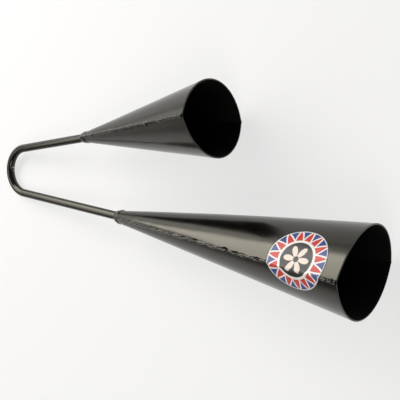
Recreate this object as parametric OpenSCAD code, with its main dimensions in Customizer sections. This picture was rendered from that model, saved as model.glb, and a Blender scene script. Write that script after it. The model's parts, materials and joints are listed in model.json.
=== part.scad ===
// Double agogo: two cones of welded sheet steel on one bent steel rod.
// It lies on its side on a table at Z = 0, with both mouths towards +X, the small
// bell on the +Y side and the large bell on the -Y side.

/* [Handle rod] */
// Diameter of the bent rod
rod_d = 8; // [6:0.5:10]
// Radius of the bend, to the middle of the rod
bend_r = 23; // [18:1:32]
// Lean of each straight leg away from the other, in degrees
splay = 7; // [4:0.5:10]
// Straight rod between the bend and the small bell's tip
small_leg = 93; // [75:1:120]
// Straight rod between the bend and the large bell's tip
large_leg = 135; // [115:1:165]
// Length of rod held inside each tip
rod_in = 14; // [8:1:20]

/* [Bells] */
// Thickness of the sheet steel
sheet = 1.2; // [0.8:0.1:2]
// Turn of each bell back towards the other, in degrees
toe_in_angle = 1; // [0:0.25:2]
// Turn of the small bell about its own middle line, top seam outwards, in degrees
small_roll = 2; // [0:0.5:4]
// Length of the small bell, from its tip to the crowns of its mouth
small_l = 146; // [120:1:170]
// Width of the small mouth, from seam to seam
small_w = 87; // [78:1:98]
// Height of the small mouth, from crown to crown
small_h = 66.5; // [56:0.5:74]
// Room between the rod and the small bell's tip
small_tip_gap = 0.2; // [0.1:0.1:1.5]
// Length of the large bell, from its tip to the crowns of its mouth
large_l = 241; // [200:1:280]
// Width of the large mouth, from seam to seam
large_w = 102; // [90:1:112]
// Height of the large mouth, from crown to crown
large_h = 73; // [64:0.5:82]
// Room between the rod and the large bell's tip
large_tip_gap = 0.9; // [0.1:0.1:1.5]

/* [Welds] */
// Width of a seam weld
seam_weld_w = 3; // [2:0.25:4]
// Height of a seam weld above the sheet
seam_weld_h = 0.9; // [0.5:0.1:1.2]
// Gap between the two halves of a bell, which the seam weld fills
root_gap = 0.4; // [0.2:0.1:0.8]
// Length of the neck weld along the small bell's leg
small_neck_weld_l = 5.5; // [3:0.5:8]
// Length of the neck weld along the large bell's leg
large_neck_weld_l = 7; // [3:0.5:10]
// Height of a neck weld above the sheet
neck_weld_h = 0.5; // [0.2:0.1:1]
// Depth to which a neck weld is fused into the rod
weld_bite = 0.3; // [0.1:0.1:0.6]

/* [Label] */
// Diameter of the round label
label_d = 50; // [36:1:56]
// Thickness of the label
label_t = 0.2; // [0.1:0.05:0.4]
// Distance of the label's middle from the large bell's mouth, along the sheet
label_in = 37.5; // [34:0.5:90]
// Turn of the label's middle from the bell's crown towards the top seam, in degrees
label_turn = 61.5; // [30:0.5:70]

/* [Hidden] */
$fn = 96;
black_steel = "#1b1a19";
weld_steel = "#26241f";
label_blue = "#2b3f86";

// Hairline between the rod and a neck weld, so that neither cuts the other
hairline = 0.02;
// Step of the neck weld's round shoulder, in degrees
shoulder_step = 15;
// Step of the search along a mouth's rim, in degrees
rim_step = 2;
// Number of rounds in the search for the plane that the part rests on
rest_count = 8;

// A bell is a list: side, leg, length, half width, half height, half height of the
// tip, neck weld length and roll
function tip_half(gap) = rod_d / 2 + gap + sheet;
small_bell = [1, small_leg, small_l, small_w / 2, small_h / 2, tip_half(small_tip_gap),
    small_neck_weld_l, small_roll];
large_bell = [-1, large_leg, large_l, large_w / 2, large_h / 2, tip_half(large_tip_gap),
    large_neck_weld_l, 0];
function side(b) = b[0];
function leg(b) = b[1];
function length_of(b) = b[2];
function mouth_half_w(b) = b[3];
function mouth_half_h(b) = b[4];
function neck_l(b) = b[6];
function roll(b) = -side(b) * b[7];

// Each bell is drawn with its mouth towards +Z and its sharp end, where its cones
// would meet, at the origin. X is across the crowns and Y across the seams.
function tip_z(b) = length_of(b) * b[5] / (mouth_half_h(b) - b[5]);
function mouth_z(b) = tip_z(b) + length_of(b);
function crown_angle(b) = atan(mouth_half_h(b) / mouth_z(b));
// The flat blank of a half ends in an arc, so the rim lies on a ball round the sharp end
function rim_r(b) = norm([mouth_z(b), mouth_half_h(b)]);
function seam_angle(b) = asin(mouth_half_w(b) / rim_r(b));
// Each half is part of a round cone, tilted so that it meets the other at the seams
function cone_tilt(b) =
    atan((cos(crown_angle(b)) - cos(seam_angle(b))) / sin(crown_angle(b)));
function cone_angle(b) = crown_angle(b) + cone_tilt(b);
function reach(b) = mouth_z(b) + 2 * mouth_half_w(b);

// The handle lies in the XY plane while it is drawn, with the bend's middle at the origin
function leg_dir(s) = [cos(splay), s * sin(splay), 0];
function leg_start(s) = bend_r * [-sin(splay), s * cos(splay), 0];
function lean(b) = side(b) * (splay - toe_in_angle);
function bell_dir(b) = [cos(lean(b)), sin(lean(b)), 0];
function tip_point(b) = leg_start(side(b)) + leg(b) * leg_dir(side(b));
function from_bell(b, p) = tip_point(b) + (p[2] - tip_z(b)) * bell_dir(b)
    + (p[0] * cos(roll(b)) - p[1] * sin(roll(b))) * [-sin(lean(b)), cos(lean(b)), 0]
    + (p[0] * sin(roll(b)) + p[1] * cos(roll(b))) * [0, 0, 1];

// The part rests on the ends of the two bottom seam welds and on the bend
function unit(v) = v / norm(v);
function weld_end(b, s) = from_bell(b, [0,
    s * (rim_r(b) * sin(seam_angle(b)) + seam_weld_h * cos(seam_angle(b))),
    rim_r(b) * cos(seam_angle(b)) - seam_weld_h * sin(seam_angle(b))]);
function low_end(b) = weld_end(b, -1);
function bend_low(n) = -bend_r * unit([n[0], n[1], 0]) - rod_d / 2 * n;
function plane_normal(c) = unit(cross(c - low_end(small_bell),
    low_end(large_bell) - low_end(small_bell)));
function rest_normal(n, count) =
    count <= 0 ? n : rest_normal(plane_normal(bend_low(n)), count - 1);
up = rest_normal(unit([rod_d, 0, bend_r]), rest_count);
along = unit([1, 0, 0] - up[0] * up);
across = cross(up, along);

// The origin is under the middle of the part's box
function rim_ray(b, a, half) = let (t = cone_tilt(b), c = cone_angle(b))
    [half * (sin(c) * cos(a) * cos(t) - cos(c) * sin(t)), sin(c) * sin(a),
     sin(c) * cos(a) * sin(t) + cos(c) * cos(t)];
function seam_turn(b) = acos(tan(cone_tilt(b)) / tan(cone_angle(b)));
function rim_points(b) = concat(
    [for (half = [-1, 1], a = [-seam_turn(b):rim_step:seam_turn(b)])
        from_bell(b, rim_r(b) * rim_ray(b, a, half))],
    [for (s = [-1, 1]) weld_end(b, s)]);
all_rims = concat(rim_points(small_bell), rim_points(large_bell));
left = -bend_r * norm([along[0], along[1]]) - rod_d / 2;
right = max([for (p = all_rims) p * along]);
front = min([for (p = all_rims) p * across]);
back = max([for (p = all_rims) p * across]);
middle = [(left + right) / 2, (front + back) / 2, low_end(large_bell) * up];

module at_rest() {
    translate(-middle)
        multmatrix([concat(along, 0), concat(across, 0), concat(up, 0), [0, 0, 0, 1]])
            children();
}

module at_bell(b) {
    translate(tip_point(b))
        rotate(lean(b))
            rotate(120, [1, 1, 1])
                translate([0, 0, -tip_z(b)])
                    rotate(roll(b))
                        children();
}

// A straight leg from the bend upwards, with the groove that its neck weld fills
module leg_rod(b, grow) {
    difference() {
        cylinder(d = rod_d + 2 * grow, h = leg(b) + rod_in);
        translate([0, 0, leg(b) - neck_l(b) + grow])
            difference() {
                cylinder(d = 2 * rod_d, h = neck_l(b) - 2 * grow);
                cylinder(d = rod_d - 2 * weld_bite + 2 * grow, h = neck_l(b));
            }
    }
}

// One leg with its half of the bend, drawn on the +Y side and cut off square at Y = 0
module half_handle(b) {
    far = leg(b) + rod_in + bend_r;
    intersection() {
        rotate(90 + splay) {
            rotate_extrude(angle = 90)
                translate([bend_r, 0])
                    circle(d = rod_d);
            translate([bend_r, 0, 0])
                rotate([90, 0, 0])
                    leg_rod(b, 0);
        }
        translate([-far, 0, -rod_d])
            cube([2 * far, far, 2 * rod_d]);
    }
}

// One round cone of a bell, its wall moved outwards by grow
module cone(b, grow) {
    rotate([0, -cone_tilt(b), 0])
        translate([0, 0, -grow / sin(cone_angle(b))])
            cylinder(r1 = 0, r2 = reach(b) * tan(cone_angle(b)), h = reach(b));
}

// The space of one half of a bell, between two heights
module half_space(b, x, z1, z2) {
    translate([x, -reach(b) / 2, z1])
        cube([reach(b), reach(b), z2 - z1]);
}

// The sheet of one half, before its rim is cut
module half_wall(b) {
    intersection() {
        difference() {
            cone(b, 0);
            cone(b, -sheet);
        }
        half_space(b, root_gap / 2, tip_z(b), mouth_z(b) + sheet);
    }
}

module half_shell(b) {
    intersection() {
        half_wall(b);
        sphere(r = rim_r(b));
    }
}

// The whole bell with no hollow, its walls moved outwards by grow
module filled(b, grow, z1, z2) {
    for (half = [0, 1])
        mirror([half, 0, 0])
            intersection() {
                cone(b, grow);
                half_space(b, 0, z1, z2);
            }
}

// A round bar along the seam on the +Y side, which stands seam_weld_h proud
module seam_bar(b, grow) {
    rotate([-seam_angle(b), 0, 0])
        translate([0, seam_weld_h - seam_weld_w / 2, 0])
            cylinder(d = seam_weld_w + 2 * grow, h = rim_r(b));
}

module seam_weld(b, face) {
    mirror([0, face < 0 ? 1 : 0, 0])
        difference() {
            intersection() {
                seam_bar(b, 0);
                translate([-reach(b) / 2, 0, tip_z(b)])
                    cube(reach(b));
            }
            half_wall(b);
            mirror([1, 0, 0])
                half_wall(b);
            leg_in_bell(b)
                leg_rod(b, hairline);
        }
}

// Places what is drawn on a leg, with the bend at the origin, into its bell's own frame
module leg_in_bell(b) {
    translate([0, 0, tip_z(b)])
        rotate(-roll(b))
            rotate([0, side(b) * toe_in_angle, 0])
                translate([0, 0, -leg(b)])
                    children();
}

// The weld between a tip and the rod goes on from the cones and ends in a round shoulder
module neck_weld(b) {
    wide = tip_z(b) * tan(seam_angle(b)) + neck_weld_h;
    shoulder = [for (a = [0:shoulder_step:90])
        [rod_d / 2 + (wide - rod_d / 2) * sin(a), -neck_l(b) * cos(a)]];
    difference() {
        intersection() {
            filled(b, neck_weld_h, tip_z(b) - 2 * neck_l(b), tip_z(b));
            leg_in_bell(b)
                translate([0, 0, leg(b)])
                    rotate_extrude()
                        polygon(concat([[0, -neck_l(b)]], shoulder,
                            [[wide, neck_l(b)], [0, neck_l(b)]]));
        }
        leg_in_bell(b)
            leg_rod(b, hairline);
    }
}

module handle_rod() {
    color(black_steel)
        at_rest() {
            half_handle(small_bell);
            mirror([0, 1, 0])
                half_handle(large_bell);
        }
}

module small_bell_outer_half() {
    color(black_steel)
        at_rest()
            at_bell(small_bell)
                half_shell(small_bell);
}

module small_bell_inner_half() {
    color(black_steel)
        at_rest()
            at_bell(small_bell)
                mirror([1, 0, 0])
                    half_shell(small_bell);
}

module small_bell_top_seam_weld() {
    color(weld_steel)
        at_rest()
            at_bell(small_bell)
                seam_weld(small_bell, 1);
}

module small_bell_bottom_seam_weld() {
    color(weld_steel)
        at_rest()
            at_bell(small_bell)
                seam_weld(small_bell, -1);
}

module small_bell_neck_weld() {
    color(weld_steel)
        at_rest()
            at_bell(small_bell)
                neck_weld(small_bell);
}

module large_bell_inner_half() {
    color(black_steel)
        at_rest()
            at_bell(large_bell)
                half_shell(large_bell);
}

module large_bell_outer_half() {
    color(black_steel)
        at_rest()
            at_bell(large_bell)
                mirror([1, 0, 0])
                    half_shell(large_bell);
}

module large_bell_top_seam_weld() {
    color(weld_steel)
        at_rest()
            at_bell(large_bell)
                seam_weld(large_bell, 1);
}

module large_bell_bottom_seam_weld() {
    color(weld_steel)
        at_rest()
            at_bell(large_bell)
                seam_weld(large_bell, -1);
}

module large_bell_neck_weld() {
    color(weld_steel)
        at_rest()
            at_bell(large_bell)
                neck_weld(large_bell);
}

// A thin film pressed over the sheet and over the seam weld that it crosses
module round_label() {
    b = large_bell;
    low = mouth_z(b) - label_in - label_d;
    color(label_blue)
        at_rest()
            at_bell(b)
                intersection() {
                    difference() {
                        union() {
                            filled(b, label_t, low, mouth_z(b));
                            seam_bar(b, label_t);
                        }
                        filled(b, 0, low - label_d, mouth_z(b) + label_d);
                        seam_bar(b, 0);
                    }
                    rotate([0, -cone_tilt(b), 0])
                        rotate(label_turn)
                            rotate([0, cone_angle(b), 0])
                                translate([0, 0, rim_r(b) - label_in])
                                    rotate([0, 90, 0])
                                        cylinder(d = label_d, h = label_d, center = true);
                }
}

handle_rod();
small_bell_outer_half();
small_bell_inner_half();
small_bell_top_seam_weld();
small_bell_bottom_seam_weld();
small_bell_neck_weld();
large_bell_inner_half();
large_bell_outer_half();
large_bell_top_seam_weld();
large_bell_bottom_seam_weld();
large_bell_neck_weld();
round_label();
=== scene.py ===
import json
import math
import bmesh
import bpy
from mathutils import Matrix, Vector, noise
from mathutils.bvhtree import BVHTree


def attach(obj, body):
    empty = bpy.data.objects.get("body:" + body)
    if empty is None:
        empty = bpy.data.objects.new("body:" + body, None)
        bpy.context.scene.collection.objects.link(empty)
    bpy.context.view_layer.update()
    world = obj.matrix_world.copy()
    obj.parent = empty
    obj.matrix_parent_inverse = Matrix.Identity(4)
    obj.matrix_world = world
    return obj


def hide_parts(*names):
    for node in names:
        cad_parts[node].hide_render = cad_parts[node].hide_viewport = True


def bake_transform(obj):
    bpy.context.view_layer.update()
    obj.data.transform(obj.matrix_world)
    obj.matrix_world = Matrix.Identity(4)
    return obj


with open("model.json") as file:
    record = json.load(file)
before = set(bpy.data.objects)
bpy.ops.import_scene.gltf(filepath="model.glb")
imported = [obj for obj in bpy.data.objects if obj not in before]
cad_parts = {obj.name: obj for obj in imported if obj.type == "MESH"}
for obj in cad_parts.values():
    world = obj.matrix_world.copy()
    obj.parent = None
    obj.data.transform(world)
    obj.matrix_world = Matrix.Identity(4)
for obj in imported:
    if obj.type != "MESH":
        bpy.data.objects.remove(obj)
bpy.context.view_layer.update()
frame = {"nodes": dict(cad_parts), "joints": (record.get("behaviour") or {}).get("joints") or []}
mm = 0.001
print("frame loaded,", len(frame["nodes"]), "nodes")

# The handle is drawn flat in its own plane and placed by the joint in the middle of its bend:
# forward runs to the mouths, sideways to the small bell, faceUp out of the plane
squeeze = frame["joints"][0]
bendMiddle = Vector(squeeze["pos_m"])
faceUp = -Vector(squeeze["axis"]).normalized()
forward = Vector((0, 1, 0)).cross(faceUp).normalized()
sideways = faceUp.cross(forward)
handlePlane = Matrix.Translation(bendMiddle) @ Matrix((forward, sideways, faceUp)).transposed().to_4x4()

# Lengths in the dictionaries are in millimetres and angles in degrees, where nothing else is said
handle = dict(
    rodRadius=4.0,
    bendRadius=23.0,
    splay=7.0,          # each leg away from the middle line
    inTip=14.0,         # rod hidden inside each tip
    toeIn=1.0,          # each bell back towards the other
    ringsInBend=64,
    sidesOfRod=40,
    stepOnLeg=3.0,
)

# In both bells: ragged, calm and lumps lie along the top seam, measured from the mouth.
# A lump is (from the mouth, aside, height, reach), a pit in the neck's bead
# (from the tip, turn, depth, reach, slant) and a drop of spatter (from the tip, turn, radius).
# The bells' undercut strength sets how dark the painted shade along a seam bead's foot is.
smallBell = dict(
    side=1, leg=93.0, length=146.0, width=87.0, height=66.5, tipGap=0.2, sheet=1.2, roll=2.0,
    bulge=0.0, neckWeld=5.5, neckReach=2.5, seed=3.1,
    ragged=(26, 104), calm=(0, 0), undercutShade=0.62,
    lumps=[(134, 0.5, 0.6, 3.0), (100, -0.3, 0.5, 3.0), (69, 0.4, 0.7, 4.0), (47, -0.8, 1.2, 3.5),
           (41, 0.7, 0.9, 2.5), (28, 0.2, 0.8, 3.0), (8, 0.4, 0.5, 2.5)],
    pits=[],
    spatter=[(-10.5, 150, 0.55), (-13.5, 60, 0.35), (9.0, 30, 0.45), (15.0, 140, 0.4)],
)
largeBell = dict(
    side=-1, leg=135.0, length=241.0, width=102.0, height=73.0, tipGap=0.9, sheet=1.2, roll=0.0,
    bulge=1.2, neckWeld=7.0, neckReach=0.0, seed=7.7,
    ragged=(-20, 172), calm=(13, 63), undercutShade=0.22,    # calm where the label lies over the seam
    lumps=[(236, 0.4, 0.6, 3.0), (222, -0.5, 0.6, 2.5), (192, 0.2, 0.7, 2.5), (184, -0.3, 0.6, 2.0),
           (152, 0.3, 0.9, 3.0), (138, 0.6, 1.0, 3.0), (104, 0.6, 1.1, 3.5), (93, -0.2, 1.2, 3.0),
           (71, 0.5, 0.8, 2.5), (9, -0.3, 0.9, 2.2), (4, 0.2, 0.8, 2.0)],
    pits=[(-3.6, 50, 1.2, 1.1, -0.7), (1.2, 118, 0.7, 0.8, 0.3)],
    spatter=[(-9.5, 30, 0.4), (-14.0, 120, 0.45), (8.0, 130, 0.5), (12.0, 50, 0.4), (19.0, 62, 0.45)],
)


def bellShape(bell):
    # works out the cones' angles: both halves are round cones, tilted so that they meet at the seams
    tipHalf = handle["rodRadius"] + bell["tipGap"] + bell["sheet"]
    halfHeight = bell["height"] / 2
    bell["tipAt"] = bell["length"] * tipHalf / (halfHeight - tipHalf)
    mouthAt = bell["tipAt"] + bell["length"]
    # a flat blank ends in an arc, so the whole rim is as far from the cones' sharp end
    bell["rimFar"] = math.hypot(mouthAt, halfHeight)
    crown = math.atan(halfHeight / mouthAt)
    seam = math.asin(bell["width"] / 2 / bell["rimFar"])
    tilt = math.atan((math.cos(crown) - math.cos(seam)) / math.sin(crown))
    cone = crown + tilt
    seamTurn = math.acos(math.tan(tilt) / math.tan(cone))
    # how steeply the sheets fall away on both sides of the seam's ridge
    skin = Matrix.Rotation(-tilt, 3, "Y") @ Vector((math.cos(seamTurn), math.sin(seamTurn), -math.tan(cone)))
    bell.update(seam=seam, tilt=tilt, cone=cone, seamTurn=seamTurn, ridge=skin.x / skin.y)
    # the bell's own frame: Z to the mouth from the cones' sharp end, X over a crown, Y over the top seam
    splay = math.radians(handle["splay"])
    lean = bell["side"] * (splay - math.radians(handle["toeIn"]))
    start = Vector((-math.sin(splay), bell["side"] * math.cos(splay), 0)) * handle["bendRadius"]
    legWay = Vector((math.cos(splay), bell["side"] * math.sin(splay), 0))
    bellWay = Vector((math.cos(lean), math.sin(lean), 0))
    tip = start + legWay * bell["leg"]
    up = Vector((0, 0, 1))
    turn = Matrix((up.cross(bellWay), up, bellWay)).transposed().to_4x4()
    roll = Matrix.Rotation(math.radians(-bell["side"] * bell["roll"]), 4, "Z")
    place = Matrix.Translation((tip - bellWay * bell["tipAt"]) * mm) @ turn @ roll
    bell.update(legStart=start, legWay=legWay, place=handlePlane @ place)


bellShape(smallBell)
bellShape(largeBell)


# Materials

class Value:
    # a socket whose maths is written as Python
    def __init__(self, paint, socket):
        self.paint, self.socket = paint, socket

    def maths(self, operation, first, second):
        return self.paint.node("ShaderNodeMath", dict(operation=operation), {0: first, 1: second})

    def __add__(self, other):
        return self.maths("ADD", self, other)

    def __radd__(self, other):
        return self.maths("ADD", other, self)

    def __sub__(self, other):
        return self.maths("SUBTRACT", self, other)

    def __rsub__(self, other):
        return self.maths("SUBTRACT", other, self)

    def __mul__(self, other):
        return self.maths("MULTIPLY", self, other)

    def __rmul__(self, other):
        return self.maths("MULTIPLY", other, self)

    def __truediv__(self, other):
        return self.maths("DIVIDE", self, other)

    def __rtruediv__(self, other):
        return self.maths("DIVIDE", other, self)

    def __pow__(self, other):
        return self.maths("POWER", self, other)

    def __rpow__(self, other):
        return self.maths("POWER", other, self)


class Paint:
    # the nodes of one material, or of the world
    def __init__(self, owner, output="ShaderNodeOutputMaterial"):
        self.owner = owner
        owner.use_nodes = True
        self.tree = owner.node_tree
        self.tree.nodes.clear()
        self.output = self.tree.nodes.new(output)

    def node(self, kind, settings=None, sockets=None, result=0):
        made = self.tree.nodes.new(kind)
        for name, value in (settings or {}).items():
            setattr(made, name, value)
        for key, value in (sockets or {}).items():
            if isinstance(value, Value):
                self.tree.links.new(value.socket, made.inputs[key])
            else:
                made.inputs[key].default_value = value
        return Value(self, made.outputs[result])

    def place(self):
        return self.node("ShaderNodeTexCoord", result="Object")

    def noise(self, place, size, detail=2.0, rough=0.5):
        # size is the width of a blotch in millimetres
        return self.node("ShaderNodeTexNoise", dict(noise_dimensions="3D"),
                         {"Vector": place, "Scale": 1 / (size * mm), "Detail": detail, "Roughness": rough})

    def between(self, value, low, high):
        # a soft step from 0 at low to 1 at high
        return self.node("ShaderNodeMapRange", dict(interpolation_type="SMOOTHSTEP"),
                         {"Value": value, "From Min": low, "From Max": high})

    def step(self, value, at, soft):
        # the same round one value, falling instead of rising where soft is negative
        return self.between(value, at - soft, at + soft)

    def mixColour(self, factor, first, second):
        return self.node("ShaderNodeMix", dict(data_type="RGBA"), {"Factor": factor, 6: first, 7: second}, 2)

    def bump(self, height, strength, distance):
        return self.node("ShaderNodeBump", sockets={"Height": height, "Strength": strength,
                                                    "Distance": distance * mm})

    def shader(self, **sockets):
        words = {key.replace("_", " "): value for key, value in sockets.items()}
        return self.node("ShaderNodeBsdfPrincipled", sockets=words)

    def finish(self, shader):
        self.tree.links.new(shader.socket, self.output.inputs["Surface"])
        return self.owner


# An edge is a pair: the values of a noise at which it starts and ends. The scratches turn in radians
enamelLook = dict(
    black=(0.0010, 0.0010, 0.0009, 1), brownBlack=(0.0036, 0.0033, 0.0027, 1),
    cloudSize=14.0, cloudEdge=(0.35, 0.70),
    roughness=0.17, roughnessRange=0.06, reflectionTint=(1.0, 0.955, 0.81, 1),
    peelSize=2.2, peelHeight=0.02, peelStrength=0.6,
    speck=(0.06, 0.056, 0.048, 1), speckSize=7.0, speckEdge=(0.070, 0.035),
    speckCover=0.6, speckRough=0.2, speckProud=0.5,
    scratchSize=30.0, scratchEdge=(0.69, 0.74), scratchRough=0.12, scratchDeep=0.35,
    scratchTurn=(0.3, 0.2, 0.9), scratchDrawn=(1, 14, 14),
    creviceShade=(0.0006, 0.0006, 0.0005, 1), lumpSize=0.9, unevenSize=1.6, unevenRough=0.18,    # on weld beads; the near-black colour is painted shade for their hollows
)


def enamel(name, look, wear=None, lumpy=0.0):
    paint = Paint(bpy.data.materials.new(name))
    place = paint.place()
    cloud = paint.noise(place, look["cloudSize"], 3.0, 0.6)
    peel = paint.noise(place, look["peelSize"], 2.0)
    dots = paint.node("ShaderNodeTexVoronoi", dict(feature="F1"),
                      {"Vector": place, "Scale": 1 / (look["speckSize"] * mm)})
    speck = paint.between(dots, *look["speckEdge"])
    # long fine scratches: noise drawn out along one direction
    drawn = paint.node("ShaderNodeMapping", sockets={
        "Vector": place, "Rotation": look["scratchTurn"], "Scale": look["scratchDrawn"]})
    scratch = paint.between(paint.noise(drawn, look["scratchSize"], 4.0, 0.7), *look["scratchEdge"])
    colour = paint.mixColour(paint.between(cloud, *look["cloudEdge"]), look["black"], look["brownBlack"])
    colour = paint.mixColour(speck * look["speckCover"], colour, look["speck"])
    roughness = look["roughness"] + (cloud - 0.5) * look["roughnessRange"]
    roughness = roughness + scratch * look["scratchRough"] + speck * look["speckRough"]
    height = peel + speck * look["speckProud"] - scratch * look["scratchDeep"]
    metal = 0.0
    if lumpy:
        height = height + paint.noise(place, look["lumpSize"], 3.0, 0.7) * lumpy
        roughness = roughness + (paint.noise(place, look["unevenSize"], 2.0) - 0.4) * look["unevenRough"]
    if wear:
        # bare steel where the enamel is knocked off, near one spot
        away = paint.node("ShaderNodeVectorMath", dict(operation="DISTANCE"), {0: place, 1: wear["at"]}, 1)
        near = 1 - paint.between(away, wear["core"] * mm, wear["reach"] * mm)
        flakes = paint.noise(place, wear["chipSize"], 4.0, 0.65)
        chips = paint.between(flakes + near * wear["push"], *wear["chipEdge"]) * near
        colour = paint.mixColour(chips, colour, wear["steel"])
        metal = chips
        roughness = roughness + chips * wear["rough"]
        height = height - chips * wear["depth"]
    normal = paint.bump(height, look["peelStrength"], look["peelHeight"])
    shader = paint.shader(Base_Color=colour, Roughness=roughness, Metallic=metal,
                          Specular_Tint=look["reflectionTint"], Normal=normal)
    if lumpy:
        # painted shade: a near-black matt, placed by a mesh attribute, stands in for the shade in the weld's
        # undercuts, notches and pits and at the seam bead's mouth end
        depth = paint.node("ShaderNodeAttribute", dict(attribute_name="creviceShade"), result="Fac")
        paintedShadeMatt = paint.node("ShaderNodeBsdfDiffuse", sockets={"Color": look["creviceShade"]})
        shader = paint.node("ShaderNodeMixShader", sockets={0: depth, 1: shader, 2: paintedShadeMatt})
    return paint.finish(shader)


insideLook = dict(
    dark=(0.0010, 0.0010, 0.0009, 1), light=(0.0030, 0.0028, 0.0025, 1), cloudSize=9.0,
    grainSize=0.8, grainHeight=0.03, grainStrength=0.4, roughness=0.55, roughnessRange=0.2, gloss=0.10,
)


def boreBlack(name, look):
    # the inside of a bell: thin matt overspray that swallows light
    paint = Paint(bpy.data.materials.new(name))
    place = paint.place()
    cloud = paint.noise(place, look["cloudSize"], 3.0, 0.6)
    grain = paint.noise(place, look["grainSize"], 2.0)
    return paint.finish(paint.shader(
        Base_Color=paint.mixColour(cloud, look["dark"], look["light"]),
        Roughness=look["roughness"] + cloud * look["roughnessRange"], Specular_IOR_Level=look["gloss"],
        Normal=paint.bump(grain, look["grainStrength"], look["grainHeight"])))


# The turn is counted from the crown of the inner half. Shares are of the label's radius,
# and a colour's edge is soft for as much on both sides of its place
labelLook = dict(
    diameter=50.0, fromMouth=37.5, turn=61.5,
    red=(0.58, 0.028, 0.016, 1), white=(0.84, 0.83, 0.80, 1), blue=(0.020, 0.045, 0.24, 1),
    dark=(0.006, 0.0055, 0.005, 1), cream=(0.80, 0.70, 0.61, 1),
    rays=15, redWidth=0.80, blueFrom=1.12, blueSpread=0.85, raySoft=0.03,
    trimShare=0.97, trimSoft=0.005, ringShare=0.625, discShare=0.545, ringSoft=0.006,
    petals=3, petalShare=0.44, petalRound=0.8, petalSoft=0.012, heartShare=0.0925, heartSoft=0.0075,
    faded=(0.75, 0.74, 0.72, 1), fadeSize=3.0, fadeCover=0.04,
    roughness=0.21, roughnessRange=0.06, gloss=0.28, rippleSize=5.0, rippleStrength=0.25, rippleHeight=0.05,
    rings=42, sides=150, smoothings=4,
    film=0.12, lift=0.32,           # its own thickness, and how far its face stands off what it lies on
    overSeam=6.0,                   # this far on both sides of the seam it is pressed straight down
    castFrom=5.0, castLength=8.0,   # the rays that find what it lies on
)


def labelPrint(name, look):
    # a sunburst of red and blue rays on white round a dark disc with a cream flower
    paint = Paint(bpy.data.materials.new(name))
    flat = paint.node("ShaderNodeUVMap", dict(uv_map="labelMap"))
    x = paint.node("ShaderNodeSeparateXYZ", sockets={0: flat}, result=0)
    y = paint.node("ShaderNodeSeparateXYZ", sockets={0: flat}, result=1)
    x, y = (x - 0.5) * 2, (y - 0.5) * 2
    out = (x * x + y * y) ** 0.5
    angle = paint.node("ShaderNodeMath", dict(operation="ARCTAN2"), {0: y, 1: x})
    saw = paint.node("ShaderNodeMath", dict(operation="PINGPONG"),
                     {0: (angle + math.pi) * (look["rays"] / math.pi), 1: 1.0})
    along = (out - look["ringShare"]) / (1 - look["ringShare"])
    redRay = paint.step((1 - along) * look["redWidth"] - saw, 0, look["raySoft"])
    blueRay = paint.step(saw - (look["blueFrom"] - along * look["blueSpread"]), 0, look["raySoft"])
    wave = paint.node("ShaderNodeMath", dict(operation="COSINE"), {0: angle * look["petals"]})
    rosette = paint.node("ShaderNodeMath", dict(operation="ABSOLUTE"), {0: wave})
    petal = paint.step(rosette ** look["petalRound"] * look["petalShare"] - out, 0, look["petalSoft"])
    colour = look["white"]
    for mask, ink in (
            (redRay, "red"), (blueRay, "blue"),
            (paint.step(out, look["trimShare"], look["trimSoft"]), "white"),
            (paint.step(out, look["ringShare"], -look["ringSoft"]), "white"),
            (paint.step(out, look["discShare"], -look["ringSoft"]), "dark"),
            (petal, "cream"),
            (paint.step(out, look["heartShare"], -look["heartSoft"]), "dark")):
        colour = paint.mixColour(mask, colour, look[ink])
    place = paint.place()
    fade = paint.noise(place, look["fadeSize"], 3.0)
    colour = paint.mixColour(fade * look["fadeCover"], colour, look["faded"])
    ripple = paint.noise(place, look["rippleSize"], 2.0)
    return paint.finish(paint.shader(
        Base_Color=colour, Roughness=look["roughness"] + fade * look["roughnessRange"],
        Specular_IOR_Level=look["gloss"],
        Normal=paint.bump(ripple, look["rippleStrength"], look["rippleHeight"])))


# the enamel is worn where the bend is hung up: fully within the core, and less and less out to the reach
insideOfBend = Vector((-handle["bendRadius"] + handle["rodRadius"], 1.5, 0.0))
bendWear = dict(at=handlePlane @ (insideOfBend * mm), core=1.625, reach=6.5, steel=(0.62, 0.60, 0.58, 1),
                chipSize=1.2, chipEdge=(0.80, 0.84), push=0.25, rough=0.12, depth=1.5)
rodEnamel = enamel("rodEnamel", enamelLook, wear=bendWear)
shellEnamel = enamel("shellEnamel", enamelLook)
weldEnamelAndShade = enamel("weldEnamelAndShade", enamelLook, lumpy=0.35)
insideBlack = boreBlack("insideBlack", insideLook)
labelFilm = labelPrint("labelFilm", labelLook)
print("materials made")


# Pieces

def piece(name, bm, materials, body, nodes):
    mesh = bpy.data.meshes.new(name)
    bm.to_mesh(mesh)
    bm.free()
    obj = bpy.data.objects.new(name, mesh)
    bpy.context.scene.collection.objects.link(obj)
    for material in materials:
        mesh.materials.append(material)
    mesh.shade_smooth()
    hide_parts(*nodes)
    if body:
        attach(obj, body)
    return obj


def extruded(bm, edges, way, count):
    # pulls open edges along one way in equal steps, and gives back the last ones
    for _ in range(count):
        grown = bmesh.ops.extrude_edge_only(bm, edges=edges)["geom"]
        edges = [g for g in grown if isinstance(g, bmesh.types.BMEdge)]
        verts = [g for g in grown if isinstance(g, bmesh.types.BMVert)]
        bmesh.ops.translate(bm, verts=verts, vec=way / count)
    return edges


def tube(start, end, step, sides):
    # a capped tube of radius 1 along Z, with rings to bend or dent
    bm = bmesh.new()
    ring = bmesh.ops.create_circle(bm, segments=sides, radius=1.0)["verts"]
    bmesh.ops.translate(bm, verts=ring, vec=(0, 0, start))
    edges = list(bm.edges)
    count = max(2, round((end - start) / step))
    bmesh.ops.contextual_create(bm, geom=edges)
    edges = extruded(bm, edges, Vector((0, 0, end - start)), count)
    bmesh.ops.contextual_create(bm, geom=edges)
    return bm


def uneven(*place):
    # smooth noise from about -1 to 1
    return noise.noise(Vector(place))


def nearness(value, middle, spread):
    # 1 at the middle, falling off to both sides
    return math.exp(-(value - middle) ** 2 / spread)


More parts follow.
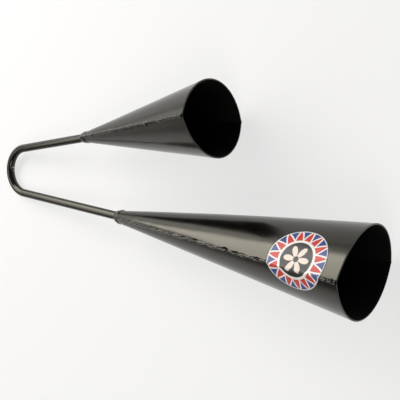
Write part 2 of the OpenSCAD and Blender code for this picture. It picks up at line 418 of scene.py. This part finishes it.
def intoPlace(bm, bell):
    # from the bell's own frame in millimetres to the shared frame in metres
    bmesh.ops.scale(bm, vec=(mm, mm, mm), verts=bm.verts)
    bmesh.ops.recalc_face_normals(bm, faces=bm.faces)
    bmesh.ops.transform(bm, matrix=bell["place"], verts=bm.verts)


shellLook = dict(
    ringsAlong=90, stepsRound=64, seamGap=0.12,     # each half's edge stays this far from the seam
    wave=0.11, waveSize=34.0, dent=0.035, dentSize=11.0,
    endShare=1 / 12, rimLeft=0.25,      # waves die away over this share of the length, but not quite at the rim
    bulgeFocus=3,                       # how closely the bell's bulge keeps to the crown
    rimBevel=0.28, bevelSteps=3, bevelFrom=50,
)


def halfShell(name, bell, half, body, node):
    # one rolled half: a line spun round the cone's axis, then tilted, waved and given its wall
    look = shellLook
    bm = bmesh.new()
    turn = bell["seamTurn"] - look["seamGap"] / (bell["height"] / 2)
    line = Vector((math.sin(bell["cone"]), 0, math.cos(bell["cone"])))
    line = Matrix.Rotation(-turn, 3, "Z") @ line
    count = look["ringsAlong"]
    dots = [bm.verts.new(line * (1 + i / count)) for i in range(count + 1)]
    for a, b in zip(dots, dots[1:]):
        bm.edges.new((a, b))
    bmesh.ops.spin(bm, geom=bm.verts[:] + bm.edges[:], cent=(0, 0, 0), axis=(0, 0, 1), angle=2 * turn,
                   steps=look["stepsRound"], use_merge=False, use_duplicate=False)
    tilt = Matrix.Rotation(-bell["tilt"], 3, "Y")
    axis = tilt @ Vector((0, 0, 1))
    for vert in bm.verts:
        share = vert.co.length / line.length - 1       # 0 at the tip, 1 at the rim
        ray = tilt @ vert.co
        ray.normalize()
        tipFar = bell["tipAt"] / ray.z
        vert.co = ray * (tipFar + share * (bell["rimFar"] - tipFar))
        outwards = (vert.co - axis * vert.co.dot(axis)).normalized()
        wave = uneven(*(vert.co / look["waveSize"] + Vector((bell["seed"], half, 0)))) * look["wave"]
        dent = uneven(*(vert.co / look["dentSize"] + Vector((0, bell["seed"], half)))) * look["dent"]
        ends = min(1.0, share / look["endShare"], (1 - share) / look["endShare"] + look["rimLeft"])
        vert.co += outwards * (wave + dent) * ends
        if half > 0:
            # hand-rolled sheet: the half over the +X crown can stand fuller in its middle
            crownShare = max(0.0, outwards.x) ** look["bulgeFocus"]
            vert.co += outwards * bell["bulge"] * math.sin(math.pi * share) * crownShare
    if half < 0:
        bmesh.ops.scale(bm, vec=(-1, 1, 1), verts=bm.verts)
    bmesh.ops.scale(bm, vec=(mm, mm, mm), verts=bm.verts)
    bmesh.ops.recalc_face_normals(bm, faces=bm.faces)
    bm.faces.ensure_lookup_table()
    if bm.faces[len(bm.faces) // 2].normal.x * half < 0:
        bmesh.ops.reverse_faces(bm, faces=bm.faces)
    bmesh.ops.transform(bm, matrix=bell["place"], verts=bm.verts)
    obj = piece(name, bm, [shellEnamel, insideBlack], body, [node])
    wall = obj.modifiers.new("wall", "SOLIDIFY")
    wall.thickness = bell["sheet"] * mm
    wall.offset = -1
    wall.use_even_offset = True
    wall.material_offset = 1
    edge = obj.modifiers.new("edge", "BEVEL")
    edge.width = look["rimBevel"] * mm
    edge.segments = look["bevelSteps"]
    edge.limit_method = "ANGLE"
    edge.angle_limit = math.radians(look["bevelFrom"])
    edge.harden_normals = True
    return obj


# Waves are noise along the seam: each is (size, lane of the noise, strength), and they add up.
# A place is (where across the bead, from -1 to 1, and how far it spreads)
weldLook = dict(
    ring=0.6, sides=30,                             # step along the seam, and sides round the bead
    halfWidth=2.0, rise=0.72, round=0.8,            # the bead, and how softly it bends over the seam's ridge
    sink=0.10, root=0.5,                            # how deep its feet and its root lie in the sheets
    widthWaves=((6.5, 0, 0.40), (2.9, 4, 0.16)),
    heightWaves=((5.4, 8, 0.60), (2.4, 9, 0.21)),
    wanderWaves=((13.0, 6, 0.6),),
    tipFade=(0.2, 4.0), mouthFade=(0.1, 3.0),       # share of the waves at an end, growing by 1 over this length
    quiet=0.35, raggedSoft=8.0,                     # their share outside the ragged stretch
    calmLeft=0.05, calmSoft=5.0,                    # and within the calm one
    pitch=2.6, ripple=0.015, pitchWaves=((9.0, 2, 1.6),),
    grit=0.05, gritSize=1.1,
    # the bead's notches are cut in and also darkened with painted shade; along one foot only painted shade marks
    # the undercut
    notchWaves=((3.0, 12, 2.0),), notchFrom=0.24, notchPlace=(-0.55, 0.06), notchDepth=0.45, notchShade=1.3,
    undercutWaves=((6.0, 15, 1.2), (2.3, 16, 0.5)), undercutPlace=(-0.75, 0.05), undercutShadeGain=1.3,
    mouthShade=1.4,                                  # painted shade over this much of its end
    lumpHeight=0.8, lumpWidth=0.3, lumpFocus=2,     # what a lump of height 1 adds, and how steep it is
    lumpNotch=0.8, lumpNotchFocus=6,
)


def stretch(away, ends, soft):
    # 1 between the two ends, 0 outside them, with soft shoulders
    low, high = ends
    return min(1.0, max(0.0, (away - low) / soft)) * min(1.0, max(0.0, (high - away) / soft))


def seamWeld(name, bell, face, body, node):
    # a soft bead that runs out on to both sheets, with lumps, and painted shade standing in for undercuts along
    # one foot
    look = weldLook
    start = bell["tipAt"] / math.cos(bell["seam"])
    end = bell["rimFar"]
    bm = tube(start, end, look["ring"], look["sides"])
    creviceShade = bm.verts.layers.float.new("creviceShade")
    seed = bell["seed"] + face * 5
    crown = look["rise"] + look["sink"] + look["round"] * bell["ridge"]
    tipShare, tipSoft = look["tipFade"]
    mouthShare, mouthSoft = look["mouthFade"]

    def change(z, waves):
        return sum(strength * uneven(z / size, seed, lane) for size, lane, strength in look[waves])

    for vert in bm.verts:
        across, up, z = vert.co
        away = end - z
        ends = min(1.0, (z - start) / tipSoft + tipShare, away / mouthSoft + mouthShare)
        torn = stretch(away, bell["ragged"], look["raggedSoft"])
        rag = (look["quiet"] + (1 - look["quiet"]) * torn) * ends
        if face > 0:
            rag *= 1 - (1 - look["calmLeft"]) * stretch(away, bell["calm"], look["calmSoft"])
        width = 1 + change(z, "widthWaves") * rag
        scales = math.cos(2 * math.pi * (z + change(z, "pitchWaves") - across * across) / look["pitch"])
        height = 1 + (change(z, "heightWaves") + look["ripple"] * scales) * rag
        bite = max(0.0, change(z, "notchWaves") - look["notchFrom"]) * rag
        for at, aside, tall, reach in bell["lumps"] if face > 0 else ():
            along = ((away - at) / reach) ** 2
            off = ((across * look["halfWidth"] - aside) / reach) ** 2
            height += look["lumpHeight"] * tall * math.exp(-look["lumpFocus"] * (along + off)) * ends
            width += look["lumpWidth"] * tall * math.exp(-look["lumpFocus"] * along)
            bite += look["lumpNotch"] * tall * math.exp(-look["lumpNotchFocus"] * along) * rag
        x = across * look["halfWidth"] * width + change(z, "wanderWaves") * rag
        y = -math.hypot(x, look["round"]) * bell["ridge"] - look["sink"]
        if up > 0:
            edge = nearness(across, *look["notchPlace"])
            foot = nearness(across, *look["undercutPlace"]) * torn * rag
            y += crown * height * math.cos(math.pi / 2 * across) ** 2 - look["notchDepth"] * bite * edge
            # painted shade along the undercut foot, in the notches and near the mouth end, stored for the weld's
            # material
            undercutShade = bell["undercutShade"] + change(z, "undercutWaves")
            vert[creviceShade] = min(1.0, max(0.0, foot * undercutShade * look["undercutShadeGain"],
                                         bite * edge * look["notchShade"], 1 - away / look["mouthShade"]))
            size = look["gritSize"]
            gritX = uneven(x / size, up / size, z / size + seed)
            gritY = uneven(up / size, z / size, x / size + seed)
            x += gritX * look["grit"] * ends
            y += gritY * look["grit"] * ends
        else:
            y -= look["root"] * abs(up)     # the root stays within the sheets
        vert.co = Vector((x, y, z))
    bmesh.ops.rotate(bm, verts=bm.verts, cent=(0, 0, 0), matrix=Matrix.Rotation(-bell["seam"], 3, "X"))
    if face < 0:
        bmesh.ops.scale(bm, vec=(1, -1, 1), verts=bm.verts)
    intoPlace(bm, bell)
    return piece(name, bm, [weldEnamelAndShade], body, [node])


def skinOut(bell, height, turn, grow, halvings=22):
    # how far the bell's skin lies from its middle line, in one direction round it
    way = Vector((abs(math.cos(turn)), math.sin(turn), 0))
    tilt = Matrix.Rotation(bell["tilt"], 3, "Y")
    low, high = 0.0, bell["width"]
    for _ in range(halvings):
        middle = (low + high) / 2
        point = tilt @ (way * middle + Vector((0, 0, height)))
        skin = point.z * math.tan(bell["cone"]) + grow / math.cos(bell["cone"])
        low, high = (middle, high) if math.hypot(point.x, point.y) < skin else (low, middle)
    return low


neckLook = dict(
    sides=56, rings=22, proud=0.5,
    underRod=0.3, shoulder=0.7,             # its thin end lies in the rod, and it swells fast from there
    lap=2.0, lapFall=0.45,                  # over the tip, and how fast it thins there
    lump=0.42, lumpSize=2.6, fine=0.14, fineSize=0.9,
    rodFade=1 / 5, tipFade=1 / 4,           # shares of its length over which the lumps grow at both ends
    pitTurn=14, pitTall=2.0,                # a pit's unit round the bead, and how much longer it is that way
    # painted shade in the pits, and how closely it keeps to their middle
    pitShade=0.9, pitShadeFocus=1.6,
)


def neckWeld(name, bell, body, node):
    # a fat bead round the rod that runs out on to the tip
    look = neckLook
    length = bell["neckWeld"] + bell["neckReach"]
    rod = handle["rodRadius"] - look["underRod"]
    bm = tube(0.0, 1.0, 1 / look["rings"], look["sides"])
    creviceShade = bm.verts.layers.float.new("creviceShade")
    seed = bell["seed"]

    def onBead(turn, out, along):
        return Vector((math.cos(turn) * out, math.sin(turn) * out, along))

    for vert in bm.verts:
        share = vert.co.z
        turn = math.atan2(vert.co.y, vert.co.x)
        along = -length + share * (length + look["lap"])    # from the tip, above 0 on the bell
        bead = skinOut(bell, bell["tipAt"] + max(along, 0.0), turn, look["proud"])
        shoulder = math.sin(min(1.0, max(0.0, 1 + along / length)) * math.pi / 2) ** look["shoulder"]
        out = bead - look["lapFall"] * along if along > 0 else rod + (bead - rod) * shoulder
        ends = min(1.0, share / look["rodFade"], (1 - share) / look["tipFade"])
        spot = onBead(turn, handle["rodRadius"], along)
        lump = uneven(*(spot / look["lumpSize"] + Vector((seed, 0, 0))))
        fine = uneven(*(spot / look["fineSize"] + Vector((0, seed, 0))))
        out += ends * (lump * look["lump"] + fine * look["fine"])
        for at, where, depth, reach, slant in bell["pits"]:
            # a pit's turn is measured from the +X crown, and it may run aslant round the bead
            off = (math.degrees(turn) - where) / look["pitTurn"]
            gap = ((along - at - slant * off) ** 2 + (off / look["pitTall"]) ** 2) / reach ** 2
            out -= depth * math.exp(-gap)
            # painted shade in the pit
            vert[creviceShade] = max(vert[creviceShade], look["pitShade"] * math.exp(-gap * look["pitShadeFocus"]))
        vert.co = onBead(turn, out, bell["tipAt"] + along)
    for along, turn, size in bell["spatter"]:
        # droplets that stuck to the rod and the tip
        turn = math.radians(turn)
        out = handle["rodRadius"] if along < 0 else skinOut(bell, bell["tipAt"] + along, turn, 0.0)
        drop = Matrix.Translation(onBead(turn, out, bell["tipAt"] + along))
        bmesh.ops.create_icosphere(bm, subdivisions=3, radius=size, matrix=drop)
    intoPlace(bm, bell)
    return piece(name, bm, [weldEnamelAndShade], body, [node])


bells = ((smallBell, "small", "small_side"), (largeBell, "large", "large_side"))
for bell, word, body in bells:
    # both +X crowns face to the small bell's side: outwards on that bell, inwards on the large one
    positive, negative = ("outer", "inner") if bell["side"] > 0 else ("inner", "outer")
    bell["skin"] = [
        halfShell(f"{word}Bell{positive.title()}Sheet", bell, 1, body, f"{word}_bell_{positive}_half"),
        halfShell(f"{word}Bell{negative.title()}Sheet", bell, -1, body, f"{word}_bell_{negative}_half"),
        seamWeld(f"{word}BellTopSeamBead", bell, 1, body, f"{word}_bell_top_seam_weld"),
    ]
    seamWeld(f"{word}BellBottomSeamBead", bell, -1, body, f"{word}_bell_bottom_seam_weld")
for bell, word, body in bells:
    neckWeld(f"{word}BellNeckBead", bell, body, f"{word}_bell_neck_weld")
print("bells and welds made")


def sprungRod():
    radius, bend = handle["rodRadius"] * mm, handle["bendRadius"] * mm
    splay = math.radians(handle["splay"])
    bm = bmesh.new()
    ring = bmesh.ops.create_circle(bm, segments=handle["sidesOfRod"], radius=radius)["verts"]
    bmesh.ops.rotate(bm, verts=ring, cent=(0, 0, 0), matrix=Matrix.Rotation(math.pi / 2, 3, "X"))
    bmesh.ops.translate(bm, verts=ring, vec=(bend, 0, 0))
    bmesh.ops.rotate(bm, verts=ring, cent=(0, 0, 0), matrix=Matrix.Rotation(math.pi / 2 + splay, 3, "Z"))
    first = list(bm.edges)
    last = bmesh.ops.spin(bm, geom=bm.verts[:] + bm.edges[:], cent=(0, 0, 0), axis=(0, 0, 1),
                          angle=math.pi - 2 * splay, steps=handle["ringsInBend"], use_merge=False,
                          use_duplicate=False)["geom_last"]
    last = [g for g in last if isinstance(g, bmesh.types.BMEdge)]
    for bell, edges in ((smallBell, first), (largeBell, last)):
        length = bell["leg"] + handle["inTip"]
        edges = extruded(bm, edges, bell["legWay"] * length * mm, round(length / handle["stepOnLeg"]))
        bmesh.ops.contextual_create(bm, geom=edges)
    bmesh.ops.recalc_face_normals(bm, faces=bm.faces)
    bmesh.ops.transform(bm, matrix=handlePlane, verts=bm.verts)
    rod = piece("sprungHandleRod", bm, [rodEnamel], None, ["handle_rod"])
    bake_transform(rod)


sprungRod()
print("handle made")


def roundLabel(bell, look):
    bm = bmesh.new()
    radius = look["diameter"] / 2
    bmesh.ops.create_circle(bm, cap_ends=True, segments=look["sides"], radius=radius)
    for _ in range(look["rings"] - 1):
        face = max(bm.faces, key=lambda f: len(f.verts))
        bmesh.ops.inset_individual(bm, faces=[face], thickness=radius / look["rings"], use_even_offset=True)
    hub = max(bm.faces, key=lambda f: len(f.verts))
    bmesh.ops.poke(bm, faces=[hub])
    flat = bm.loops.layers.uv.new("labelMap")
    for face in bm.faces:
        for loop in face.loops:
            at = loop.vert.co / look["diameter"]
            loop[flat].uv = (0.5 + at.x, 0.5 + at.y)
    # wrap: the flat film rolls on to one cone, over the seam and on to the other
    cone = bell["cone"]
    tilt = Matrix.Rotation(-bell["tilt"], 3, "Y")
    middleFar = bell["rimFar"] - look["fromMouth"]
    seamWay = Vector((0, math.cos(bell["seam"]), -math.sin(bell["seam"])))
    ways = {}
    for vert in bm.verts:
        x, y = vert.co.x, vert.co.y
        distance = math.hypot(middleFar + x, y)
        turn = math.radians(look["turn"]) + math.atan2(y, middleFar + x) / math.sin(cone)
        over = turn > bell["seamTurn"]
        if over:
            turn = 2 * bell["seamTurn"] - turn
        sideOut = Vector((math.cos(turn), math.sin(turn), 0))
        point = tilt @ (sideOut * math.sin(cone) + Vector((0, 0, math.cos(cone))))
        normal = tilt @ (sideOut * math.cos(cone) - Vector((0, 0, math.sin(cone))))
        if over:
            point.x, normal.x = -point.x, -normal.x
        lean = max(0.0, 1 - abs(point.x * distance) / look["overSeam"])
        ways[vert] = (normal * (1 - lean) + seamWay * lean).normalized()
        vert.co = point * distance + normal * look["lift"]
    # the film lies on the sheets and on the weld's bead, and bridges from one to the other
    skins = [BVHTree.FromObject(obj, bpy.context.evaluated_depsgraph_get()) for obj in bell["skin"]]
    toShared = bell["place"] @ Matrix.Scale(mm, 4)
    inner = [v for v in bm.verts if not v.is_boundary]
    for again in range(look["smoothings"]):
        if again:
            bmesh.ops.smooth_vert(bm, verts=inner, factor=0.5, use_axis_x=True, use_axis_y=True,
                                  use_axis_z=True)
        for vert, way in ways.items():
            start = toShared @ (vert.co + way * look["castFrom"])
            down = (toShared.to_3x3() @ -way).normalized()
            hits = [tree.ray_cast(start, down, look["castLength"] * mm)[3] for tree in skins]
            near = min((hit for hit in hits if hit is not None), default=None)
            if near is not None:
                lift = look["castFrom"] - near / mm + look["lift"]
                vert.co += way * (lift if lift > 0 or not again else 0.0)
    bmesh.ops.recalc_face_normals(bm, faces=bm.faces)
    bm.faces.ensure_lookup_table()
    if bm.faces[0].normal.y < 0:
        bmesh.ops.reverse_faces(bm, faces=bm.faces)
    bmesh.ops.transform(bm, matrix=toShared, verts=bm.verts)
    label = piece("sunburstLabel", bm, [labelFilm], "large_side", ["round_label"])
    film = label.modifiers.new("film", "SOLIDIFY")
    film.thickness = look["film"] * mm
    film.offset = -1


roundLabel(largeBell, labelLook)
print("label made")


# Floor, walls, lamps and camera

# in metres; part of the paper's white is its own, so the shadow stays but lies light
floorLook = dict(radius=16.0, edge=0.5, sides=96, pale=(0.88, 0.88, 0.875, 1), whiteBack=0.66)


def paleFloor(look):
    bm = bmesh.new()
    bmesh.ops.create_circle(bm, cap_ends=True, segments=look["sides"], radius=look["radius"])
    # its far edge turns up, so that low views end in paper and not in the dim walls
    extruded(bm, bm.edges[:], Vector((0, 0, look["edge"])), 1)
    mesh = bpy.data.meshes.new("paleFloor")
    bm.to_mesh(mesh)
    bm.free()
    obj = bpy.data.objects.new("paleFloor", mesh)
    bpy.context.scene.collection.objects.link(obj)
    paint = Paint(bpy.data.materials.new("palePaper"))
    paper = paint.node("ShaderNodeBsdfDiffuse", sockets={"Color": look["pale"]})
    glow = paint.node("ShaderNodeEmission", sockets={"Color": (1, 1, 1, 1), "Strength": 1.0})
    seen = sum((paint.node("ShaderNodeLightPath", result=ray) for ray in
                ("Is Camera Ray", "Is Glossy Ray", "Is Transmission Ray")), 0.0)
    mixed = paint.node("ShaderNodeMixShader", sockets={0: seen * look["whiteBack"], 1: paper, 2: glow})
    mesh.materials.append(paint.finish(mixed))


paleFloor(floorLook)

# dim walls, with soft light patches low on the left and behind
studioLook = dict(tint=(1.0, 0.99, 0.97, 1), dim=0.15, patches=[
    dict(azimuth=156, elevation=3, strength=1.75, tightness=16),
    dict(azimuth=130, elevation=8, strength=1.6, tightness=30),
    dict(azimuth=204, elevation=6, strength=0.65, tightness=40),
])


def aim(azimuth, elevation):
    azimuth, elevation = math.radians(azimuth), math.radians(elevation)
    return Vector((math.cos(elevation) * math.cos(azimuth), math.cos(elevation) * math.sin(azimuth),
                   math.sin(elevation)))


def studioWalls(look):
    world = bpy.data.worlds.new("studio")
    bpy.context.scene.world = world
    paint = Paint(world, "ShaderNodeOutputWorld")
    seenWay = paint.node("ShaderNodeTexCoord", result="Generated")
    strength = look["dim"]
    for patch in look["patches"]:
        middle = aim(patch["azimuth"], patch["elevation"])
        near = paint.node("ShaderNodeVectorMath", dict(operation="DOT_PRODUCT"), {0: seenWay, 1: middle}, 1)
        near = paint.node("ShaderNodeMath", dict(operation="MAXIMUM"), {0: near, 1: 0.0})
        strength = near ** patch["tightness"] * patch["strength"] + strength
    paint.finish(paint.node("ShaderNodeBackground", sockets={"Color": look["tint"], "Strength": strength}))


studioWalls(studioLook)

# distances and sizes in metres; radiance is how bright the box's face looks
lamps = [
    dict(name="keyBox", azimuth=132, elevation=32, distance=1.1, width=0.84, height=0.60, radiance=6.2),
    dict(name="shoulderBox", azimuth=172, elevation=38, distance=1.1, width=0.50, height=0.44, radiance=4.0),
    dict(name="backBox", azimuth=202, elevation=34, distance=1.2, width=0.50, height=0.40, radiance=1.8),
    dict(name="fillBox", azimuth=-62, elevation=50, distance=1.4, width=0.7, height=0.7, radiance=3.0),
]
lampTint = (1.0, 0.97, 0.92)
lampsAimAt = Vector((0, 0, 0.05))


def softbox(look):
    lamp = bpy.data.lights.new(look["name"], "AREA")
    lamp.shape = "RECTANGLE"
    lamp.size, lamp.size_y = look["width"], look["height"]
    lamp.energy = look["radiance"] * math.pi * look["width"] * look["height"]
    lamp.color = lampTint
    obj = bpy.data.objects.new(look["name"], lamp)
    way = aim(look["azimuth"], look["elevation"])
    obj.location = lampsAimAt + way * look["distance"]
    obj.rotation_euler = way.to_track_quat("Z", "Y").to_euler()
    bpy.context.scene.collection.objects.link(obj)


for lamp in lamps:
    softbox(lamp)

# location and nearest in metres, turn in degrees, lens and sensor in millimetres
cameraLook = dict(location=(0.32907, -0.00900, 0.57769), turn=(1.747, 27.713, 3.908), lens=65.10,
                  sensor=36.0, nearest=0.01)
photoLens = bpy.data.cameras.new("photoCamera")
photoLens.lens = cameraLook["lens"]
photoLens.sensor_width = cameraLook["sensor"]
photoLens.clip_start = cameraLook["nearest"]
camera = bpy.data.objects.new("photoCamera", photoLens)
camera.location = cameraLook["location"]
camera.rotation_euler = [math.radians(a) for a in cameraLook["turn"]]
bpy.context.scene.collection.objects.link(camera)
bpy.context.scene.camera = camera
bpy.context.scene.view_settings.view_transform = "Standard"
print("stage set")
